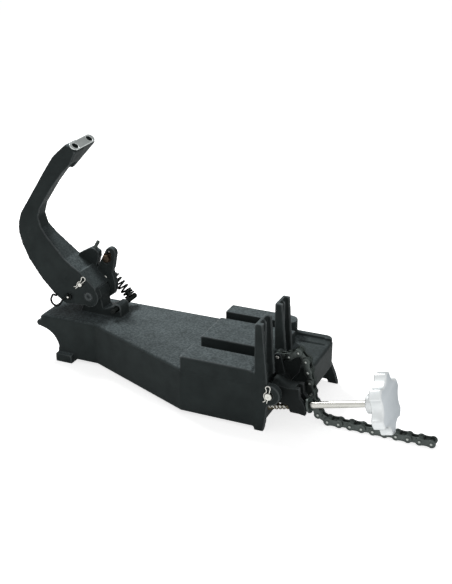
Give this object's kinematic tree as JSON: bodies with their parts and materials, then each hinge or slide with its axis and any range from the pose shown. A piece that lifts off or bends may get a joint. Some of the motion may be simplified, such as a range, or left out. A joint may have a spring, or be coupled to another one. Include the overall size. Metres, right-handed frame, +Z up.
{
  "type": "band saw stand",
  "caption": "Bench stand that carries a portable band saw on a hinged arm over a cast base, with a screw-tightened chain vise for pipe at the front",
  "frame": {"origin": "middle of the bounding box's underside, on the bench", "axes": "+X from the arm's pivot toward the hand knob, +Y away from the screw's side, +Z up"},
  "size_m": [0.804, 0.2345, 0.3979],
  "materials": {
    "charcoal_paint": "cast iron with satin charcoal paint",
    "bright_steel": "bright turned steel",
    "yellow_zinc": "yellow zinc plate",
    "dark_steel": "oiled dark steel",
    "cast_alloy": "tumbled cast aluminium"
  },
  "bodies": {
    "base": {"base_casting": "charcoal_paint", "pivot_pin": "charcoal_paint", "spring_bar": "dark_steel", "spring_seat": "dark_steel", "lift_spring": "dark_steel", "lever_pin": "bright_steel", "lever_clip": "bright_steel"},
    "arm": {"saw_arm": "charcoal_paint", "cross_pin": "bright_steel", "cross_clip": "bright_steel", "spring_pin": "bright_steel", "hook_pin": "bright_steel", "stop_rod": "dark_steel", "slot_bolt": "yellow_zinc", "slot_washer": "yellow_zinc", "slot_nut": "yellow_zinc"},
    "hook": {"tie_hook": "dark_steel"},
    "nut": {"trunnion_nut": "bright_steel", "screw_spring": "yellow_zinc"},
    "washer": {"thrust_washer": "dark_steel"},
    "screw": {"clamp_screw": "bright_steel", "hand_knob": "cast_alloy", "knob_pin": "bright_steel"},
    "lever": {"tension_lever": "charcoal_paint", "chain_anchor_pin": "bright_steel", "chain_link_01": "dark_steel", "chain_link_02": "dark_steel", "chain_link_03": "dark_steel"},
    "chain_drop": {"chain_link_04": "dark_steel", "chain_link_05": "dark_steel", "chain_link_06": "dark_steel", "chain_link_07": "dark_steel", "chain_link_08": "dark_steel"},
    "chain_floor": {"chain_link_09": "dark_steel", "chain_link_10": "dark_steel", "chain_link_11": "dark_steel", "chain_link_12": "dark_steel", "chain_link_13": "dark_steel", "chain_link_14": "dark_steel", "chain_link_15": "dark_steel", "chain_link_16": "dark_steel"},
    "chain_end_1": {"chain_link_17": "dark_steel"},
    "chain_end_2": {"chain_link_18": "dark_steel"}
  },
  "joints": [
    {"name": "arm_hinge", "type": "hinge", "parent": "base", "child": "arm", "pos_m": [-0.2555, 0.045, 0.122], "axis": [0, 1, 0], "range_deg": [0, 60], "deforming": ["lift_spring"]},
    {"name": "hook_hinge", "type": "hinge", "parent": "arm", "child": "hook", "pos_m": [-0.295, 0.0118, 0.1168], "axis": [0, 1, 0], "range_deg": [0, 80]},
    {"name": "screw_tilt", "type": "hinge", "parent": "base", "child": "nut", "pos_m": [0.1082, -0.07, 0.02373], "axis": [0, 1, 0], "range_deg": [-1.3, 3.86]},
    {"name": "screw_slide", "type": "slide", "parent": "nut", "child": "washer", "axis": [-0.9703, 0, -0.2419], "range_m": [-0.00152, 0.00452], "deforming": ["screw_spring"]},
    {"name": "knob_spin", "type": "hinge", "parent": "washer", "child": "screw", "pos_m": [0.1082, -0.07, 0.02373], "axis": [-0.9703, 0, -0.2419], "range_deg": [-180, 540]},
    {"name": "lever_swing", "type": "hinge", "parent": "base", "child": "lever", "pos_m": [0.143, -0.038, 0.068], "axis": [0, 1, 0], "range_deg": [-2.51, 7.49]},
    {"name": "chain_hang", "type": "hinge", "parent": "lever", "child": "chain_drop", "pos_m": [0.18227, -0.038, 0.10832], "axis": [0, 1, 0], "range_deg": [-19.67, 6.57]},
    {"name": "chain_level", "type": "hinge", "parent": "chain_drop", "child": "chain_floor", "pos_m": [0.20634, -0.038, 0.01654], "axis": [0, 1, 0], "range_deg": [-4.08, 12.2]},
    {"name": "chain_end_1", "type": "hinge", "parent": "chain_floor", "child": "chain_end_1", "pos_m": [0.35635, -0.038, 0.0073], "axis": [0, 1, 0], "range_deg": [-40, 0]},
    {"name": "chain_end_2", "type": "hinge", "parent": "chain_end_1", "child": "chain_end_2", "pos_m": [0.3754, -0.038, 0.0073], "axis": [0, 1, 0], "range_deg": [-40, 0]}
  ],
  "couplings": [
    {"joint": "screw_slide", "follows": "knob_spin", "m_per_rad": 0.00047746},
    {"joint": "screw_tilt", "follows": "knob_spin", "ratio": 0.0071056},
    {"joint": "lever_swing", "follows": "knob_spin", "ratio": 0.013826},
    {"joint": "chain_hang", "follows": "knob_spin", "ratio": -0.036386},
    {"joint": "chain_level", "follows": "knob_spin", "ratio": 0.02256}
  ]
}
